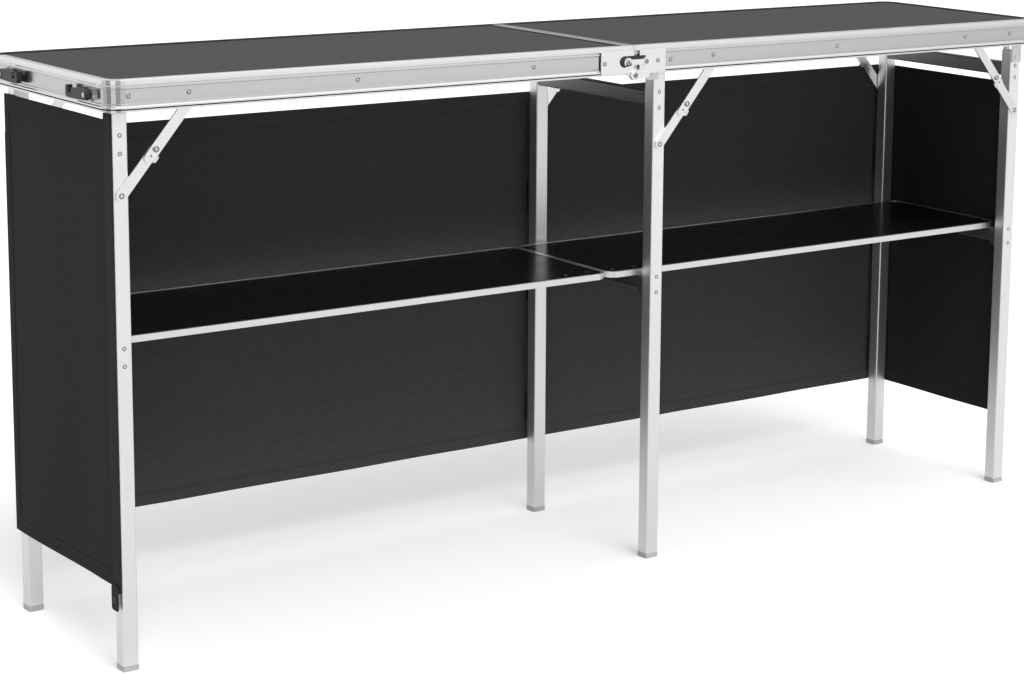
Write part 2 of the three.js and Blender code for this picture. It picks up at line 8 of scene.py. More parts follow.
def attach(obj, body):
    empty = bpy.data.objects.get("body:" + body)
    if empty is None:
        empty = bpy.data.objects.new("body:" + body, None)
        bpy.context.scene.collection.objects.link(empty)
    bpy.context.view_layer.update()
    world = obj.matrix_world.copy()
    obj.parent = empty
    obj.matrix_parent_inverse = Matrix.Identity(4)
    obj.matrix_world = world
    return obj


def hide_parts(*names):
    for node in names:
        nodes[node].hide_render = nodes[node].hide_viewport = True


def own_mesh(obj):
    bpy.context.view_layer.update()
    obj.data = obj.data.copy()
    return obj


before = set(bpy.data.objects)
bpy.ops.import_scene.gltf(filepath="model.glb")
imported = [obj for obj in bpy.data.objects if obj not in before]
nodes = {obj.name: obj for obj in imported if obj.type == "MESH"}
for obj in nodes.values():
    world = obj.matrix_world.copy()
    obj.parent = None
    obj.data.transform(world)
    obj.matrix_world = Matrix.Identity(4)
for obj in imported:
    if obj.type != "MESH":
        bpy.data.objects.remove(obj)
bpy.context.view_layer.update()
scene = bpy.context.scene

# Dimensions of the CAD model, in metres
HALF = 0.945
HALF_DEPTH = 0.205
TOP = 0.900
RIM_BOTTOM = 0.852
BOARD_TOP = 0.8989
CORNER = 0.028
LIP = 0.0103
WEB_FACE = 0.2028
WEB_END = 0.9428
FLANGE_LEFT = 0.0187
FLANGE_RIGHT = 0.0067
LEG = 0.025
LEG_Y = 0.1705
LEG_X = {"left": -0.9175, "middle": 0.072, "right": 0.9175}
FOLD_SIDE = {"left": 1, "middle": 1, "right": -1}
LINK_FACE = 0.186
UPPER_FACE = 0.1889
KNEE_FACE = 0.1901
LINK_EDGE = 0.0089
LINK_DIFFERENCE = 0.013
BRACE_FOOT_Z = 0.727
BRACE_HEAD = (0.118, 0.868)
SHELF_LOW = 0.4972
SHELF_HIGH = 0.5062
SHELF_HALF = 0.927
SHELF_HALF_DEPTH = 0.144
SHELF_CORNER = 0.022
PLATE_FACE = 0.2073
PIN_FACE = 0.2119
LOCK_Z = 0.873
LOCK_LEFT = -0.015
LOCK_RIGHT = 0.023
EYE_Z = 0.851
EYE_FACE = 0.2096
MM = 0.001

# Skirt panels: walls they hang on, near edge and run of the end panels, and the long panel's half length.
# The right panel starts further in and leaves its near leg bare.
END_WALL = 0.9313
FAR_WALL = 0.1917
PANEL_NEAR = -0.183
PANEL_RUN = 0.3734
RIGHT_SHORT = 0.011
FAR_HALF = 0.9323
SKIRT_LOW = 0.132
SKIRT_TOP = {"left": 0.838, "far": 0.776, "right": 0.776}


# Materials

# Values that most of a noise texture falls between
NOISE_SPAN = (0.3, 0.7)
# Brightness of the rim section from its lower edge to its upper edge: painted shade on the web and painted
# highlight on the lips, for how the real section's sloped faces take the light, with a little difference in
# brushing too
RIM_SHADE_BANDS = ((0.0, 0.8), (0.17, 0.82), (0.21, 0.58), (0.5, 0.62), (0.72, 0.6), (0.76, 0.74), (0.9, 0.84),
             (1.0, 0.9))
JOINT_STRIP_TONE = 0.42


def add_node(tree, kind, **values):
    made = tree.nodes.new(kind)
    for key, value in values.items():
        made.inputs[key].default_value = value
    return made


def feed(tree, entry, value):
    """Links an input to another node's output, or sets it to a number or colour."""
    if isinstance(value, bpy.types.NodeSocket):
        tree.links.new(value, entry)
    else:
        entry.default_value = value


def reckon(tree, operation, *terms):
    made = tree.nodes.new("ShaderNodeMath")
    made.operation = operation
    for entry, term in zip(made.inputs, terms):
        feed(tree, entry, term)
    return made.outputs[0]


def mix_values(tree, share, first, second):
    made = tree.nodes.new("ShaderNodeMix")
    for index, value in ((0, share), (2, first), (3, second)):
        feed(tree, made.inputs[index], value)
    return made.outputs[0]


def mix_colours(tree, share, first, second, blend="MIX"):
    made = tree.nodes.new("ShaderNodeMix")
    made.data_type = "RGBA"
    made.blend_type = blend
    for index, value in ((0, share), (6, first), (7, second)):
        feed(tree, made.inputs[index], value)
    return made.outputs[2]


def remap(tree, value, from_low, from_high, to_low=0.0, to_high=1.0):
    made = tree.nodes.new("ShaderNodeMapRange")
    entries = ("Value", "From Min", "From Max", "To Min", "To Max")
    for entry, term in zip(entries, (value, from_low, from_high, to_low, to_high)):
        feed(tree, made.inputs[entry], term)
    return made.outputs["Result"]


def colour_ramp(tree, value, stops):
    """Colours along a value, from stops of (position, colour)."""
    ramp = tree.nodes.new("ShaderNodeValToRGB")
    while len(ramp.color_ramp.elements) < len(stops):
        ramp.color_ramp.elements.new(1.0)
    for element, (position, colour) in zip(ramp.color_ramp.elements, stops):
        element.position = position
        element.color = (*colour, 1)
    tree.links.new(value, ramp.inputs["Fac"])
    return ramp.outputs["Color"]


def shader(name, roughness, metallic=0.0):
    mat = bpy.data.materials.new(name)
    mat.use_nodes = True
    tree = mat.node_tree
    bsdf = tree.nodes["Principled BSDF"]
    bsdf.inputs["Roughness"].default_value = roughness
    bsdf.inputs["Metallic"].default_value = metallic
    return mat, tree, bsdf


def place(tree, scale):
    coordinates = tree.nodes.new("ShaderNodeTexCoord")
    mapping = add_node(tree, "ShaderNodeMapping", Scale=scale)
    tree.links.new(coordinates.outputs["Object"], mapping.inputs["Vector"])
    return mapping.outputs["Vector"]


def grain(tree, scale, detail=3.0, size=1.0):
    texture = add_node(tree, "ShaderNodeTexNoise", Scale=size, Detail=detail)
    tree.links.new(place(tree, scale), texture.inputs["Vector"])
    return texture.outputs["Fac"]


def spread(tree, value, low, high):
    return remap(tree, value, *NOISE_SPAN, low, high)


def tint(tree, value, dark, light):
    return colour_ramp(tree, value, ((NOISE_SPAN[0], dark), (NOISE_SPAN[1], light)))


def bump(tree, bsdf, height, strength, distance):
    made = add_node(tree, "ShaderNodeBump", Strength=strength, Distance=distance)
    tree.links.new(height, made.inputs["Height"])
    tree.links.new(made.outputs["Normal"], bsdf.inputs["Normal"])


def grey(value):
    return (value, value, value * 1.01)


def metal(name, tone, roughness, stretch):
    """Drawn metal with fine streaks along the axis whose stretch is small."""
    mat, tree, bsdf = shader(name, roughness, 1.0)
    streaks = grain(tree, stretch, 4.0)
    tree.links.new(tint(tree, streaks, grey(tone * 0.92), grey(tone)), bsdf.inputs["Base Color"])
    tree.links.new(spread(tree, streaks, roughness - 0.05, roughness + 0.06), bsdf.inputs["Roughness"])
    bump(tree, bsdf, streaks, 0.12, 0.0003)
    return mat


def banded_metal(name, roughness, stretch, low, high):
    """Drawn rim section: lips painted bright along both edges and the web painted duller, as painted light
    and shade for the section's slopes, and a dark strip at the joint.
    """
    mat = metal(name, 1.0, roughness, stretch)
    tree = mat.node_tree
    bsdf = tree.nodes["Principled BSDF"]
    streaks = bsdf.inputs["Base Color"].links[0].from_socket
    spot = tree.nodes.new("ShaderNodeSeparateXYZ")
    tree.links.new(place(tree, (1, 1, 1)), spot.inputs["Vector"])
    up_section = remap(tree, spot.outputs["Z"], low, high)
    # Painted light by height: shade on the web, highlights on the lips
    bands = colour_ramp(tree, up_section, [(position, grey(tone)) for position, tone in RIM_SHADE_BANDS])
    from_joint = reckon(tree, "ABSOLUTE", spot.outputs["X"])
    strip = remap(tree, from_joint, FLANGE_LEFT + 0.0005, FLANGE_LEFT + 0.002, JOINT_STRIP_TONE)
    from_middle = reckon(tree, "ABSOLUTE", spot.outputs["Y"])
    lips = remap(tree, from_middle, HALF_DEPTH - LIP - 0.001, HALF_DEPTH - LIP)
    joint = reckon(tree, "MAXIMUM", strip, lips)
    base = streaks
    for factor in (bands, joint):
        base = mix_colours(tree, 1.0, base, factor, "MULTIPLY")
    tree.links.new(base, bsdf.inputs["Base Color"])
    return mat


def plastic(name, tone, roughness, size=900, specular=0.5):
    mat, tree, bsdf = shader(name, roughness)
    bsdf.inputs["Specular IOR Level"].default_value = specular
    texture = grain(tree, (1, 1, 1), 3.0, size)
    tree.links.new(tint(tree, texture, grey(tone * 0.8), grey(tone * 1.15)), bsdf.inputs["Base Color"])
    tree.links.new(spread(tree, texture, roughness - 0.06, roughness + 0.08), bsdf.inputs["Roughness"])
    bump(tree, bsdf, texture, 0.15, 0.0002)
    return mat


def laminate(name, tone, roughness, speck, specular):
    """Printed board with fine specks over slow mottling."""
    mat, tree, bsdf = shader(name, roughness)
    bsdf.inputs["Specular IOR Level"].default_value = specular
    fine = grain(tree, (1, 1, 1), 2.0, 900)
    slow = grain(tree, (1, 3, 1), 3.0, 9)
    both = mix_values(tree, 0.45, fine, slow)
    tree.links.new(tint(tree, both, grey(tone * (1 - speck)), grey(tone * (1 + speck))),
                   bsdf.inputs["Base Color"])
    tree.links.new(spread(tree, both, roughness - 0.05, roughness + 0.07), bsdf.inputs["Roughness"])
    bump(tree, bsdf, fine, 0.1, 0.0001)
    return mat


def cloth(name, tone, along, specular):
    """Plain weave: crossed threads with uneven yarn."""
    mat, tree, bsdf = shader(name, 0.85)
    bsdf.inputs["Specular IOR Level"].default_value = specular
    bsdf.inputs["Sheen Weight"].default_value = 0.02
    bsdf.inputs["Sheen Roughness"].default_value = 0.5
    threads = []
    for axis in (along, "Z"):
        wave = add_node(tree, "ShaderNodeTexWave", Scale=210.0, Distortion=1.2, Detail=2.0)
        wave.bands_direction = axis
        tree.links.new(place(tree, (1, 1, 1)), wave.inputs["Vector"])
        threads.append(wave.outputs["Fac"])
    crossing = reckon(tree, "MULTIPLY", *threads)
    yarn = grain(tree, (60, 60, 420), 4.0)
    weave = mix_values(tree, 0.6, crossing, yarn)
    tree.links.new(tint(tree, weave, grey(tone * 0.7), grey(tone * 1.25)), bsdf.inputs["Base Color"])
    bump(tree, bsdf, crossing, 0.35, 0.0004)
    return mat


FINE = 1400
MATERIALS = {
    "rim": banded_metal("anodised_rim", 0.2, (6, FINE, FINE), RIM_BOTTOM, TOP),
    "leg": metal("anodised_leg", 0.95, 0.42, (FINE, FINE, 5)),
    # Darker copy of the anodised metal for crossbars and rails: painted shade and painted dark reflection,
    # for bars under the top that face the dark skirt
    "bar": metal("anodised_bar_painted_shade", 0.24, 0.42, (FINE, 6, FINE)),
    "link": metal("bright_link", 0.9, 0.27, (700, 700, 90)),
    "zinc": metal("zinc_steel", 0.72, 0.38, (220, 220, 220)),
    # Rivets, and the knee dimples, take a dark copy of the metal: painted shade standing in for the relief
    # round the rivets' low domes
    "rivet": metal("rivet_painted_shade", 0.3, 0.3, (500, 500, 500)),
    "edging": metal("shelf_edging", 0.85, 0.4, (8, 8, FINE)),
    "top": laminate("counter_laminate", 0.041, 0.55, 0.22, 0.2),
    "shelf": laminate("shelf_laminate", 0.0035, 0.24, 0.35, 0.16),
    "black": plastic("black_plastic", 0.014, 0.42),
    "cap": plastic("grey_cap", 0.5, 0.5),
    "hook_strip": plastic("hook_strip", 0.012, 0.9, 1600),
    # Flat black for the strips of painted shade at the board's edge, the rim's lower lip and the far edge
    # of the top
    "shade_black": plastic("black_painted_shade", 0.006, 0.6, specular=0.05),
    # The end panels take a darker copy of the long panel's weave: painted shade, as the same fabric shows
    # darker on the ends under this light
    "cloth_end_shaded": cloth("skirt_weave_end_shaded", 0.02, "Y", 0.18),
    "cloth_far": cloth("skirt_weave_far", 0.056, "X", 0.5),
    "thread": plastic("stitch_thread", 0.03, 0.8, 2200),
}

NODE_MATERIALS = [
    ("rim", ("left_rim", "right_rim")),
    ("top", ("left_board", "right_board")),
    ("shelf", ("left_shelf_board", "right_shelf_board")),
    ("zinc", ("leg_mount", "strap_hinge")),
    ("link", ("hinge_left_plate", "hinge_right_plate", "lock_link", "lower_link", "upper_link")),
    ("bar", ("top_crossbar", "shelf_rail", "shelf_ledge")),
    ("cap", ("foot_cap",)),
    ("black", ("latch_hook", "carry_handle")),
    ("cloth_end_shaded", ("skirt_left", "skirt_right")),
    ("cloth_far", ("skirt_far",)),
    ("leg", ("_leg",)),
]
for name, item in nodes.items():
    for key, words in NODE_MATERIALS:
        if any(word in name for word in words):
            item.data.materials.clear()
            item.data.materials.append(MATERIALS[key])
            break


# Mesh helpers

SHARP_ANGLE = math.radians(35)


def show(name, data):
    item = bpy.data.objects.new(name, data)
    scene.collection.objects.link(item)
    return item


def finish_mesh(name, mesh, material, body, smooth=True):
    data = bpy.data.meshes.new(name)
    bmesh.ops.recalc_face_normals(mesh, faces=mesh.faces)
    mesh.to_mesh(data)
    mesh.free()
    data.materials.append(MATERIALS[material])
    item = show(name, data)
    if smooth:
        data.shade_smooth()
        data.set_sharp_from_angle(angle=SHARP_ANGLE)
    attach(item, body)
    return item


def loft(mesh, rings):
    """Joins closed rings of points; a ring of one point closes an end."""
    made = [[mesh.verts.new(p) for p in ring] for ring in rings]
    for first, second in zip(made, made[1:]):
        count = max(len(first), len(second))
        for i in range(count):
            j = (i + 1) % count
            corners = [first[i % len(first)], first[j % len(first)],
                       second[j % len(second)], second[i % len(second)]]
            unique = list(dict.fromkeys(corners))
            if len(unique) > 2:
                mesh.faces.new(unique)
    return made


def lathe(mesh, centre, axis, profile, sides=16):
    axis = Vector(axis).normalized()
    across = axis.orthogonal().normalized()
    up = axis.cross(across)
    rings = []
    for radius, height in profile:
        base = Vector(centre) + axis * height * MM
        if radius == 0:
            rings.append([base])
            continue
        turns = [2 * math.pi * i / sides for i in range(sides)]
        rings.append([base + (across * math.cos(a) + up * math.sin(a)) * radius * MM for a in turns])
    loft(mesh, rings)


# Fastener outlines as (radius, height) in millimetres
POP_RIVET = [(0, 0.3), (1.8, 0.3), (2.0, 1.0), (2.6, 1.05), (3.4, 0.7), (3.9, 0.15), (4.0, -0.4), (0, -0.4)]
WIDE_RIVET = [(0, 0.3), (2.2, 0.3), (2.4, 1.0), (3.2, 1.0), (4.2, 0.7), (4.9, 0.15), (5.0, -0.3), (0, -0.3)]
FLAT_RIVET = [(0, 0.45), (2.2, 0.42), (3.2, 0.2), (3.6, -0.3), (0, -0.3)]
LOW_RIVET = [(0, 0.05), (1.8, 0.08), (2.0, 0.3), (2.6, 0.32), (3.4, 0.2), (4.0, -0.3), (0, -0.3)]
LOW_WIDE_RIVET = [(0, 0.1), (2.2, 0.12), (2.4, 0.3), (3.4, 0.32), (4.4, 0.2), (5.0, -0.3), (0, -0.3)]
DIMPLE = [(0, 0.5), (1.1, 0.42), (1.9, 0.12), (2.2, -0.3), (0, -0.3)]
STUD = [(0, 0.6), (2.2, 0.6), (2.7, 1.3), (4.4, 1.2), (5.4, 0.7), (5.8, 0), (5.8, -0.4), (0, -0.4)]
EYE_WASHER = [(0, 1.0), (8.3, 1.0), (8.7, 0.6), (8.7, -0.1), (0, -0.1)]
EYE_RIVET = [(0, 0.5), (1.9, 0.5), (2.3, 1.2), (3.8, 1.1), (4.7, 0.4), (4.9, -0.2), (0, -0.2)]
PIN_END = [(0, 0.02), (1.2, 0.02), (1.5, 0.1), (2.6, 0.1), (3.4, 0.05), (3.7, -0.2), (0, -0.2)]
# Bright pin ends of the rivets, one mesh for each body
rivet_cores = {}


def rivet(mesh, body, centre, axis, profile):
    """Rivet ring in a dark tone painted as the shade round its low dome, with the bright end of its pin in
    the middle.
    """
    lathe(mesh, centre, axis, profile)
    radius, floor_height = profile[1]
    rim_height = profile[2][1]
    end = floor_height + 0.7 * (rim_height - floor_height)
    core = [(0, end), (radius * 0.7, end - 0.05), (radius * 0.95, floor_height + 0.03),
            (radius * 0.95, floor_height - 0.1), (0, floor_height - 0.1)]
    if body not in rivet_cores:
        rivet_cores[body] = bmesh.new()
    lathe(rivet_cores[body], centre, axis, core)


def slab(mesh, outline, at):
    """Prism of a flat outline: at(u, v, side) places a point on the low and high face."""
    low = [mesh.verts.new(at(u, v, 0)) for u, v in outline]
    high = [mesh.verts.new(at(u, v, 1)) for u, v in outline]
    mesh.faces.new(low)
    mesh.faces.new(list(reversed(high)))
    count = len(outline)
    for i in range(count):
        j = (i + 1) % count
        mesh.faces.new([low[i], low[j], high[j], high[i]])


def rounded(u0, v0, u1, v1, radius, steps=6):
    points = []
    corners = [(u1 - radius, v0 + radius, -90), (u1 - radius, v1 - radius, 0),
               (u0 + radius, v1 - radius, 90), (u0 + radius, v0 + radius, 180)]
    for u, v, start in corners:
        for i in range(steps + 1):
            a = math.radians(start + 90 * i / steps)
            points.append((u + radius * math.cos(a), v + radius * math.sin(a)))
    return points


def cross_section(before, here, after, profile):
    """Profile of (outward, z) set square to a path that runs counter-clockwise."""
    run = Vector(after) - Vector(before)
    out = Vector((run.y, -run.x)).normalized()
    return [Vector((here[0] + out.x * o, here[1] + out.y * o, z)) for o, z in profile]


def ring_sweep(mesh, outline, profile):
    """Sweeps a closed profile round a closed outline."""
    afters = outline[1:] + outline[:1]
    rings = [cross_section(outline[i - 1], here, afters[i], profile) for i, here in enumerate(outline)]
    rings.append(rings[0])
    loft(mesh, rings)
    bmesh.ops.remove_doubles(mesh, verts=mesh.verts, dist=1e-7)


# Skirt: cloth, hems and band by half their thickness, then hem widths and the rows of stitches

CLOTH_HALF = 0.0005
CLOTH_PITCH = 0.016
HEM_HALF = 0.0011
BAND_HALF = 0.0018
HEM_LOW = 0.022
HEM_TOP = 0.028
HEM_SIDE = 0.018
HEM_GAP = 0.0001
ROW_INSET = 0.003
ROW_END = 0.004
ROW_CLEAR = 0.002
STITCH_DEPTH = 0.00135
STITCH_HALF = 0.0005
STITCH_RISE = 0.0003
STITCH_TIP = 0.0006
# Slight waves of the hanging cloth, calmer near its side edges
FOLD_RATE = 21.0
FOLD_SWING = 0.0011
CREASE_SWING = 0.0004
CALM_EDGE = 0.06


class Panel:
    """One cloth panel: s runs along it, z up it, and depth outwards from the bar."""

    def __init__(self, name, start, run, out, width, top, joint, material, seed):
        self.name = name
        self.start = Vector(start)
        self.run = Vector(run)
        self.out = Vector(out)
        self.width = width
        self.top = top
        self.joint = joint
        self.material = material
        self.seed = seed
        self.pieces = []

    def point(self, s, z, depth=0.0):
        down = (self.top - z) / (self.top - SKIRT_LOW)
        loose = 0.25 + 0.75 * down
        edge = min(1.0, s / CALM_EDGE, (self.width - s) / CALM_EDGE)
        slow = noise.noise(Vector((s * 3.1 + self.seed, z * 1.2, 0.0)))
        fold = math.sin(s * FOLD_RATE + 2.2 * slow + self.seed)
        small = noise.noise(Vector((s * 9.0, z * 4.0, self.seed)))
        wave = FOLD_SWING * (1 + fold) * loose * (0.4 + 0.6 * max(edge, 0.0))
        wave += CREASE_SWING * (1 + small) * loose
        return self.start + self.run * s + Vector((0, 0, z)) + self.out * (wave + depth)

    def patch(self, mesh, s0, s1, z0, z1, half, pitch=0.02):
        """Cloth of a half thickness over a stretch of the panel, closed all round."""
        ns = max(1, round((s1 - s0) / pitch))
        nz = max(1, round((z1 - z0) / pitch))
        across = [s0 + (s1 - s0) * i / ns for i in range(ns + 1)]
        upward = [z0 + (z1 - z0) * j / nz for j in range(nz + 1)]
        layers = []
        for depth in (-half, half):
            layers.append([[mesh.verts.new(self.point(s, z, depth)) for s in across] for z in upward])
        back, front = layers
        for j in range(nz):
            for i in range(ns):
                mesh.faces.new([front[j][i], front[j][i + 1], front[j + 1][i + 1], front[j + 1][i]])
                mesh.faces.new([back[j][i], back[j + 1][i], back[j + 1][i + 1], back[j][i + 1]])
        border = [(0, i) for i in range(ns)] + [(j, ns) for j in range(nz)]
        border += [(nz, i) for i in range(ns, 0, -1)] + [(j, 0) for j in range(nz, 0, -1)]
        for here, there in zip(border, border[1:] + border[:1]):
            mesh.faces.new([front[here[0]][here[1]], back[here[0]][here[1]],
                            back[there[0]][there[1]], front[there[0]][there[1]]])

    def add(self, suffix, mesh, material, smooth=True):
        item = finish_mesh(f"{self.name}_{suffix}", mesh, material, "counter", smooth)
        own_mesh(item)
        self.pieces.append(item)
        return item

    def sew(self, mesh, s0, z0, s1, z1, pitch=0.008):
        """Row of stitches on both faces of the hem."""
        length = math.hypot(s1 - s0, z1 - z0)
        count = int(length / pitch)
        for i in range(count):
            t0 = (i + 0.15) / count
            t1 = (i + 0.8) / count
            for depth in (-STITCH_DEPTH, STITCH_DEPTH):
                a = self.point(s0 + (s1 - s0) * t0, z0 + (z1 - z0) * t0, depth)
                b = self.point(s0 + (s1 - s0) * t1, z0 + (z1 - z0) * t1, depth)
                along = (b - a).normalized()
                side = along.cross(self.out) * STITCH_HALF
                rise = self.out * STITCH_RISE
                tip = along * STITCH_TIP
                rings = [[end + side, end + rise, end - side, end - rise] for end in (a, b)]
                loft(mesh, [[a - tip]] + rings + [[b + tip]])

    def build(self, node):
        """Makes the cloth, its hems and stitches; pieces added before this stand in the same list."""
        width, low, top = self.width, SKIRT_LOW, self.top
        mesh = bmesh.new()
        self.patch(mesh, 0, width, low, top, CLOTH_HALF, CLOTH_PITCH)
        panel = self.add("cloth", mesh, self.material)
        hem = bmesh.new()
        side_low = low + HEM_LOW + HEM_GAP
        side_top = top - HEM_TOP - HEM_GAP
        self.patch(hem, 0, width, low, low + HEM_LOW, HEM_HALF)
        self.patch(hem, 0, width, top - HEM_TOP, top, HEM_HALF)
        self.patch(hem, 0, HEM_SIDE, side_low, side_top, HEM_HALF)
        self.patch(hem, width - HEM_SIDE, width, side_low, side_top, HEM_HALF)
        hems = self.add("hems", hem, self.material)
        thread = bmesh.new()
        for z in (low + HEM_LOW - ROW_INSET, top - HEM_TOP + ROW_INSET):
            self.sew(thread, ROW_END, z, width - ROW_END, z)
        for s in (HEM_SIDE - ROW_INSET, width - HEM_SIDE + ROW_INSET):
            self.sew(thread, s, low + HEM_LOW + ROW_CLEAR, s, top - HEM_TOP - ROW_CLEAR)
        stitches = self.add("stitches", thread, "thread")
        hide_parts(node)


panels = {
    "left": Panel("skirt_left", (-END_WALL, PANEL_NEAR, 0), (0, 1, 0), (-1, 0, 0), PANEL_RUN,
                  SKIRT_TOP["left"], "left_leg_fold", "cloth_end_shaded", 1.7),
    "far": Panel("skirt_far", (-FAR_HALF, FAR_WALL, 0), (1, 0, 0), (0, 1, 0), 2 * FAR_HALF,
                 SKIRT_TOP["far"], "middle_leg_fold", "cloth_far", 4.3),
    "right": Panel("skirt_right", (END_WALL, PANEL_NEAR + RIGHT_SHORT, 0), (0, 1, 0), (1, 0, 0),
                   PANEL_RUN - RIGHT_SHORT, SKIRT_TOP["right"], "right_leg_fold", "cloth_end_shaded", 7.9),
}

# Strips that hold the long panel to the far legs
PAD_Z = (0.165, 0.39, 0.56)
PAD_TALL = 0.055
PAD_HALF = 0.011
PAD_CORNER = 0.004
PAD_DEPTHS = (0.1902, 0.1911)
# Near-edge band of the left panel; flap and stud as places in Y and Z
BAND_WIDTH = (-0.0004, 0.021)
BAND_HEIGHTS = (0.124, 0.848)
FLAP = (-0.1835, 0.096, -0.1615, 0.136)
FLAP_CORNER = 0.005
FLAP_FACES = (-0.9359, -0.9373)
STUD_AT = (-0.1725, 0.112)


def leg_pads():
    """Loop strips on the long panel, facing the hook blocks of the far legs."""
    mesh = bmesh.new()
    for x in LEG_X.values():
        for z in PAD_Z:
            outline = rounded(x - PAD_HALF, z, x + PAD_HALF, z + PAD_TALL, PAD_CORNER, 4)
            slab(mesh, outline, lambda u, v, side: Vector((u, PAD_DEPTHS[side], v)))
    panels["far"].add("leg_pads", mesh, "hook_strip", False)


def edge_band():
    """Hook band down the left panel's near edge, with a flap and press stud at its foot."""
    panel = panels["left"]
    band = bmesh.new()
    panel.patch(band, *BAND_WIDTH, *BAND_HEIGHTS, BAND_HALF)
    panel.add("edge_band", band, "hook_strip")
    flap = bmesh.new()
    slab(flap, rounded(*FLAP, FLAP_CORNER, 5), lambda u, v, side: Vector((FLAP_FACES[side], u, v)))
    panel.add("band_flap", flap, "hook_strip", False)
    stud = bmesh.new()
    lathe(stud, (FLAP_FACES[1], *STUD_AT), (-1, 0, 0), STUD, 20)
    panel.add("band_stud", stud, "black")


leg_pads()
edge_band()
for side in ("left", "far", "right"):
    panels[side].build(f"skirt_{side}_panel")


# Shelf edging and fixings

EDGING_LIP = 0.0006
EDGING_OUTER = 0.0005
EDGING_INNER = -0.0046
SHELF_GAP = 0.0006
SHELF_RIVET_X = (0.026, 0.072, 0.9175)
SHELF_RIVET_Y = 0.118


def shelf_trim():
    """Channel edging round each shelf board, and the rivets that hold its rails and hinges."""
    low, high = SHELF_LOW - EDGING_LIP, SHELF_HIGH + EDGING_LIP
    profile = [(EDGING_OUTER, low), (EDGING_OUTER, high), (EDGING_INNER, high), (EDGING_INNER, SHELF_HIGH),
               (0, SHELF_HIGH), (0, SHELF_LOW), (EDGING_INNER, SHELF_LOW), (EDGING_INNER, low)]
    for name, x0, x1 in (("left", -SHELF_HALF, -SHELF_GAP), ("right", SHELF_GAP, SHELF_HALF)):
        mesh = bmesh.new()
        outline = rounded(x0, -SHELF_HALF_DEPTH, x1, SHELF_HALF_DEPTH, SHELF_CORNER, 8)
        ring_sweep(mesh, outline, profile)
        finish_mesh(f"{name}_shelf_edging", mesh, "edging", "shelf")
    mesh = bmesh.new()
    for x in [-x for x in reversed(SHELF_RIVET_X)] + list(SHELF_RIVET_X):
        for y in (-SHELF_RIVET_Y, SHELF_RIVET_Y):
            lathe(mesh, (x, y, SHELF_HIGH), (0, 0, 1), FLAT_RIVET)
    finish_mesh("shelf_rivets", mesh, "rivet", "shelf")


shelf_trim()


# Counter trim

CORNER_STEPS = 8
# Painted shade strip in the gap between board and lip: its width, gap and rise
BEAD_WIDE = 0.0026
BEAD_GAP = 0.0002
BEAD_RISE = 0.0007
# Painted shadow line along the rim's lower lip: its heights, and its reach out from and into the face and
# past the joint
SHADOW_LINE_Z = (0.8548, 0.8566)
SHADOW_LINE_OUTER = 0.00015
SHADOW_LINE_INNER = -0.0005
SHADOW_LINE_JOINT = 0.0005
# Painted shade strip along the top's far edge: its width, rise, inset and reach at the joint
STRIP_WIDE = 0.0098
STRIP_RISE = 0.0002
STRIP_INSET = 0.0003
STRIP_JOINT = 0.0008
# The strip follows the outline's points beyond these, on the guests' side and at the right end
STRIP_FROM_Y = 0.13
STRIP_FROM_X = 0.93
RIM_RIVET_X = (-0.912, -0.815, -0.528, -0.2, 0.171, 0.451, 0.764, 0.879)
END_RIVET_Y = (-0.16, 0.16)
RIM_RIVET_Z = 0.8755


def half_outlines(inset, left_joint, right_joint):
    """Counter-clockwise outlines of the two halves, drawn in by an inset."""
    radius = CORNER - inset
    depth = HALF_DEPTH - inset
    outlines = []
    for way, joint in ((-1, left_joint), (1, right_joint)):
        end = way * (HALF - inset)
        corner = []
        for i in range(CORNER_STEPS + 1):
            a = math.radians(90 * i / CORNER_STEPS)
            corner.append((end - way * radius * (1 - math.cos(a)), depth - radius * (1 - math.sin(a))))
        outline = [(joint, -depth)] + [(x, -y) for x, y in reversed(corner)] + corner + [(joint, depth)]
        outlines.append(outline if way > 0 else outline[::-1])
    return outlines


def counter_shade_bead():
    """Black strip of painted shade round each board, in the gap between its face and the rim's lip."""
    mesh = bmesh.new()
    low, high = BOARD_TOP - BEAD_GAP, BOARD_TOP + BEAD_RISE
    profile = [(0, low), (0, high), (-BEAD_WIDE, high), (-BEAD_WIDE, low)]
    for outline in half_outlines(LIP + BEAD_GAP, -FLANGE_LEFT - BEAD_GAP, FLANGE_RIGHT + BEAD_GAP):
        ring_sweep(mesh, outline, profile)
    finish_mesh("counter_shade_bead", mesh, "shade_black", "counter")


def rim_shadow_line():
    """Black strip of painted shadow that runs along the rim's lower lip."""
    mesh = bmesh.new()
    low, high = SHADOW_LINE_Z
    profile = [(SHADOW_LINE_OUTER, low), (SHADOW_LINE_OUTER, high), (SHADOW_LINE_INNER, high), (SHADOW_LINE_INNER, low)]
    for outline in half_outlines(0, -SHADOW_LINE_JOINT, SHADOW_LINE_JOINT):
        ring_sweep(mesh, outline, profile)
    finish_mesh("rim_shadow_line", mesh, "shade_black", "counter")


def far_edge_shade_strip():
    """Black strip of painted shade along the guests' edge and the right end of the top, where the far lip's
    inner wall lies in shadow.
    """
    mesh = bmesh.new()
    profile = [(0, TOP), (0, TOP + STRIP_RISE), (-STRIP_WIDE, TOP + STRIP_RISE), (-STRIP_WIDE, TOP)]
    left, right = half_outlines(STRIP_INSET, -STRIP_JOINT, STRIP_JOINT)
    left_path = [p for p in left if p[1] > STRIP_FROM_Y]
    left_path.sort(key=lambda p: -p[0])
    right_path = [p for p in right if p[1] > STRIP_FROM_Y or p[0] > STRIP_FROM_X]
    for path in (left_path, right_path):
        befores = path[:1] + path[:-1]
        afters = path[1:] + path[-1:]
        made = loft(mesh, [cross_section(*trio, profile) for trio in zip(befores, path, afters)])
        mesh.faces.new(made[0])
        mesh.faces.new(made[-1])
    finish_mesh("far_edge_shade_strip", mesh, "shade_black", "counter")


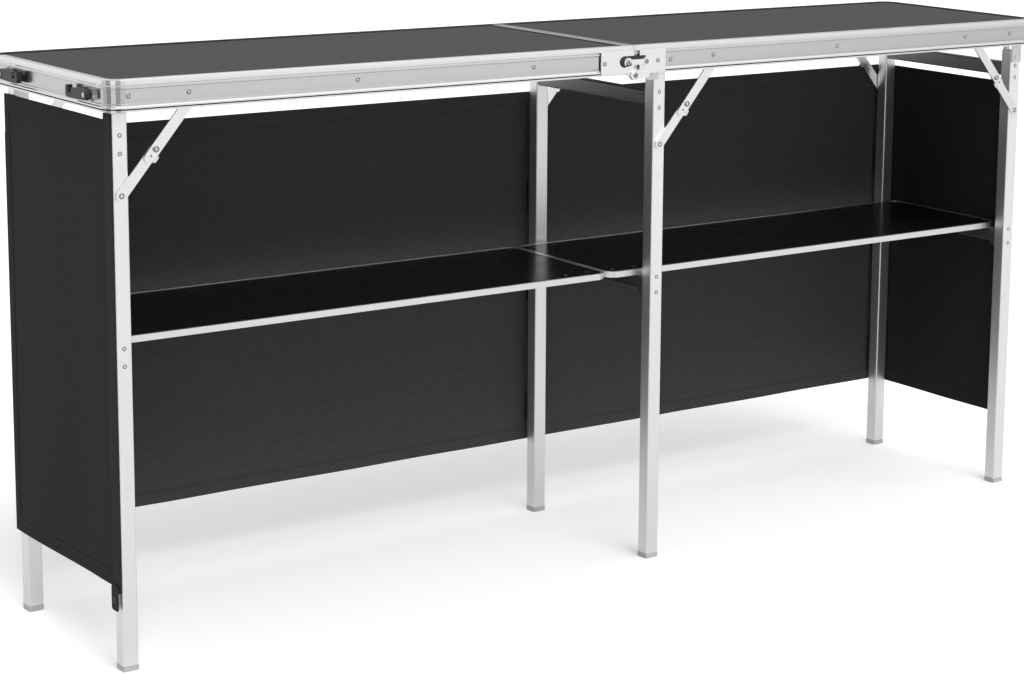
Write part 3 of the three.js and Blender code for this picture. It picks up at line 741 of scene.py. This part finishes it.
def rim_rivets():
    mesh = bmesh.new()
    for x in RIM_RIVET_X:
        for side in (-1, 1):
            rivet(mesh, "counter", (x, side * WEB_FACE, RIM_RIVET_Z), (0, side, 0), POP_RIVET)
    for y in END_RIVET_Y:
        rivet(mesh, "counter", (WEB_END, y, RIM_RIVET_Z), (1, 0, 0), POP_RIVET)
    finish_mesh("rim_rivets", mesh, "rivet", "counter")


rim_shadow_line()
far_edge_shade_strip()
counter_shade_bead()
rim_rivets()


# Leg frames and braces

CROSSBAR_RIVETS = {"left": (0.816, 0.789), "middle": (0.816, 0.789), "right": (0.811, 0.789)}
LEDGE_RIVETS = (0.4985, 0.4715)
HOOK_HALF = 0.0105
HOOK_INSET = 0.001
HOOK_DEPTHS = (0.1831, 0.19)
# Dimple and stop lie back from the knee along the upper link; the stop stands out from its edge
DIMPLE_BACK = 0.0125
STOP_BACK = 0.012
STOP_FOOT = 0.006
STOP_HEAD = 0.0048
STOP_TALL = 0.0032
STOP_DEPTHS = (0.1844, 0.1887)


def leg_rivets(name):
    """Rivets of a leg frame, and the hook blocks on its far leg."""
    mesh = bmesh.new()
    x = LEG_X[name]
    face = LEG_Y + LEG / 2
    for side in (-1, 1):
        for z in CROSSBAR_RIVETS[name] + LEDGE_RIVETS:
            rivet(mesh, f"{name}_legs", (x, side * face, z), (0, side, 0), LOW_RIVET)
    finish_mesh(f"{name}_leg_rivets", mesh, "rivet", f"{name}_legs")
    blocks = bmesh.new()
    for z in PAD_Z:
        low, high = z + HOOK_INSET, z + PAD_TALL - HOOK_INSET
        outline = rounded(x - HOOK_HALF, low, x + HOOK_HALF, high, PAD_CORNER, 4)
        slab(blocks, outline, lambda u, v, side: Vector((u, HOOK_DEPTHS[side], v)))
    finish_mesh(f"{name}_hook_blocks", blocks, "hook_strip", f"{name}_legs", False)


def brace_fixings(name):
    """Foot rivets, and the rivet, dimple and stop at each knee."""
    x = LEG_X[name]
    way = FOLD_SIDE[name]
    foot = Vector((x, BRACE_FOOT_Z))
    head = Vector((x + way * BRACE_HEAD[0], BRACE_HEAD[1]))
    span = (head - foot).length
    along = (head - foot) / span
    across = Vector((along.y, -along.x)) * way
    knee = foot + along * (span - LINK_DIFFERENCE) / 2
    dimple = knee - along * DIMPLE_BACK
    edge = knee - along * STOP_BACK + across * LINK_EDGE
    crest = edge + across * STOP_TALL
    stop = [edge - along * STOP_FOOT, edge + along * STOP_FOOT,
            crest + along * STOP_HEAD, crest - along * STOP_HEAD]
    lower = bmesh.new()
    upper = bmesh.new()
    rivets = bmesh.new()
    for side in (-1, 1):
        out = (0, side, 0)
        rivet(lower, f"{name}_lower_links", (foot.x, side * LINK_FACE, foot.y), out, LOW_WIDE_RIVET)
        rivet(rivets, f"{name}_upper_links", (knee.x, side * KNEE_FACE, knee.y), out, WIDE_RIVET)
        lathe(rivets, (dimple.x, side * UPPER_FACE, dimple.y), out, DIMPLE)
        slab(upper, stop, lambda u, v, layer: Vector((u, side * STOP_DEPTHS[layer], v)))
    finish_mesh(f"{name}_brace_rivets", lower, "rivet", f"{name}_lower_links")
    finish_mesh(f"{name}_knee_stops", upper, "link", f"{name}_upper_links")
    finish_mesh(f"{name}_knee_rivets", rivets, "rivet", f"{name}_upper_links")


for name in LEG_X:
    leg_rivets(name)
    brace_fixings(name)


# Centre hinge plastics and rivets

def teardrop(a, wide, b, narrow, steps=10):
    """Outline round two circles."""
    a, b = Vector(a), Vector(b)
    turn = math.atan2(b.y - a.y, b.x - a.x)
    lean = math.acos((wide - narrow) / (b - a).length)
    points = []
    for centre, radius, start, end in ((a, wide, lean, 2 * math.pi - lean), (b, narrow, -lean, lean)):
        for i in range(steps + 1):
            angle = turn + start + (end - start) * i / steps
            points.append((centre.x + radius * math.cos(angle), centre.y + radius * math.sin(angle)))
    return points


PLATE_RIVET_X = (-0.061, 0.049)
WEB_RIVET_X = 0.079
WASHER_THICK = 0.001
# Dark teardrop sheet laid on the plate behind the lock link: its two end circles and its two faces above
# the plate
PAD_LEFT = (LOCK_LEFT - 0.006, LOCK_Z + 0.001)
PAD_LEFT_RADIUS = 0.0095
PAD_RIGHT = (LOCK_RIGHT - 0.003, LOCK_Z + 0.005)
PAD_RIGHT_RADIUS = 0.0052
LOCK_PAD_HEIGHTS = (0.00005, 0.00035)


def hinge_details():
    """Rivets, eye washers and the dark sheets behind the lock links of the two centre hinges."""
    rivets = bmesh.new()
    washers = bmesh.new()
    for side in (-1, 1):
        out = (0, side, 0)
        for x in PLATE_RIVET_X:
            rivet(rivets, "counter", (x, side * PLATE_FACE, LOCK_Z), out, POP_RIVET)
        rivet(rivets, "counter", (WEB_RIVET_X, side * WEB_FACE, LOCK_Z), out, POP_RIVET)
        lathe(rivets, (0, side * (EYE_FACE + WASHER_THICK), EYE_Z), out, EYE_RIVET)
        for x in (LOCK_LEFT, LOCK_RIGHT):
            lathe(rivets, (x, side * PIN_FACE, LOCK_Z), out, PIN_END)
        lathe(washers, (0, side * EYE_FACE, EYE_Z), out, EYE_WASHER, 24)
    finish_mesh("hinge_rivets", rivets, "rivet", "counter")
    finish_mesh("hinge_washers", washers, "link", "counter")
    shape = teardrop(PAD_LEFT, PAD_LEFT_RADIUS, PAD_RIGHT, PAD_RIGHT_RADIUS)
    for word, side in (("near", -1), ("far", 1)):
        mesh = bmesh.new()
        slab(mesh, shape, lambda u, v, layer: Vector((u, side * (PLATE_FACE + LOCK_PAD_HEIGHTS[layer]), v)))
        finish_mesh(f"{word}_lock_pad", mesh, "black", "counter", False)


hinge_details()
for body, mesh in rivet_cores.items():
    finish_mesh(f"{body}_rivet_cores", mesh, "link", body)


# Stage: panels of different brightness stand round the bar for the metal to show.
# Each panel is its direction in degrees from the front, and its brightness.

STUDIO_PANELS = ((-180, 0.7), (-155, 0.92), (-125, 0.85), (-109, 0.68), (-90, 0.35), (-70, 0.32),
                 (-58, 0.95), (-42, 1.0), (-30, 0.42), (-12, 0.36), (2, 0.85), (20, 0.95), (36, 0.95),
                 (50, 0.78), (70, 0.7), (90, 0.55), (142, 0.55), (180, 0.7))
# Distances from the middle of the floor between which reflections of it turn into the panels
STUDIO_FROM = 2.2
STUDIO_FULL = 3.6
FLOOR_Z = -0.0006
FLOOR_HALF = 60
FLOOR_GLOW = 0.22
FLOOR_TONES = (0.8, 0.82)
AMBIENT = 0.62
WHITE = (1, 1, 1, 1)


def panel_ring(tree, vector):
    """Brightness of the studio panel that lies in a direction."""
    parts = tree.nodes.new("ShaderNodeSeparateXYZ")
    tree.links.new(vector, parts.inputs["Vector"])
    towards = reckon(tree, "MULTIPLY", parts.outputs["Y"], -1.0)
    turn = reckon(tree, "ARCTAN2", parts.outputs["X"], towards)
    share = remap(tree, turn, -math.pi, math.pi)
    return colour_ramp(tree, share, [((angle + 180) / 360, (level,) * 3) for angle, level in STUDIO_PANELS])


def floor_plane():
    """Pale floor that the camera sees as white apart from the shadow."""
    mesh = bmesh.new()
    corners = [(-1, -1), (1, -1), (1, 1), (-1, 1)]
    mesh.faces.new([mesh.verts.new((u * FLOOR_HALF, v * FLOOR_HALF, FLOOR_Z)) for u, v in corners])
    data = bpy.data.meshes.new("floor")
    mesh.to_mesh(data)
    mesh.free()
    item = show("floor", data)
    mat, tree, bsdf = shader("pale_floor", 0.9)
    bsdf.inputs["Specular IOR Level"].default_value = 0.0
    low, high = [(level,) * 3 for level in FLOOR_TONES]
    tone = tint(tree, grain(tree, (1, 1, 1), 2.0, 3.0), low, high)
    sight = tree.nodes.new("ShaderNodeLightPath")
    spot = tree.nodes.new("ShaderNodeNewGeometry").outputs["Position"]
    reach = tree.nodes.new("ShaderNodeVectorMath")
    reach.operation = "LENGTH"
    tree.links.new(spot, reach.inputs[0])
    fade = remap(tree, reach.outputs["Value"], STUDIO_FROM, STUDIO_FULL)
    shown = reckon(tree, "MULTIPLY", sight.outputs["Is Glossy Ray"], fade)
    tone = mix_colours(tree, shown, tone, panel_ring(tree, spot))
    tone = mix_colours(tree, sight.outputs["Is Camera Ray"], tone, WHITE)
    tree.links.new(tone, bsdf.inputs["Base Color"])
    bsdf.inputs["Emission Color"].default_value = WHITE
    glow = reckon(tree, "MULTIPLY", sight.outputs["Is Camera Ray"], FLOOR_GLOW)
    tree.links.new(glow, bsdf.inputs["Emission Strength"])
    data.materials.append(mat)
    return item


def studio():
    """White to the camera, even light on the bar, and panels for the metal."""
    world = bpy.data.worlds.new("studio")
    scene.world = world
    world.use_nodes = True
    tree = world.node_tree
    background = tree.nodes["Background"]
    background.inputs["Color"].default_value = WHITE
    direction = tree.nodes.new("ShaderNodeTexCoord").outputs["Generated"]
    sight = tree.nodes.new("ShaderNodeLightPath")
    lit = mix_values(tree, sight.outputs["Is Glossy Ray"], AMBIENT, panel_ring(tree, direction))
    seen = mix_values(tree, sight.outputs["Is Camera Ray"], lit, 1.0)
    tree.links.new(seen, background.inputs["Strength"])


floor_plane()
studio()


def sun(name, towards, energy, angle):
    data = bpy.data.lights.new(name, "SUN")
    data.energy = energy
    data.angle = math.radians(angle)
    item = show(name, data)
    item.rotation_mode = "QUATERNION"
    item.rotation_quaternion = Vector(towards).to_track_quat("-Z", "Y")


sun("key", (0.1, 0.6, -0.79), 1.25, 35)
sun("fill", (-0.3, 0.55, -0.78), 0.45, 60)

scene.view_settings.view_transform = "Standard"


# Camera at the photograph's viewing angle

WIDE_PX = 1024
TALL_PX = 682
FOCAL_PX = 2543.9
CENTRE_PX = (640.0, 241.0)
SENSOR = 36.0
EYE = Vector((-2.5335, -3.547, 1.3528))
YAW, PITCH, ROLL = 0.6522, 0.1842, 0.0151
ahead = Vector((math.sin(YAW) * math.cos(PITCH), math.cos(YAW) * math.cos(PITCH), -math.sin(PITCH)))
level = Vector((math.cos(YAW), -math.sin(YAW), 0))
upright = level.cross(ahead)
right = level * math.cos(ROLL) + upright * math.sin(ROLL)
up = upright * math.cos(ROLL) - level * math.sin(ROLL)
lens = bpy.data.cameras.new("camera")
lens.sensor_width = SENSOR
lens.lens = FOCAL_PX * SENSOR / WIDE_PX
lens.shift_x = (WIDE_PX / 2 - CENTRE_PX[0]) / WIDE_PX
lens.shift_y = (CENTRE_PX[1] - TALL_PX / 2) / WIDE_PX
lens.clip_end = 200
camera = show("camera", lens)
pose = Matrix((right, up, -ahead)).transposed().to_4x4()
pose.translation = EYE
camera.matrix_world = pose
scene.camera = camera
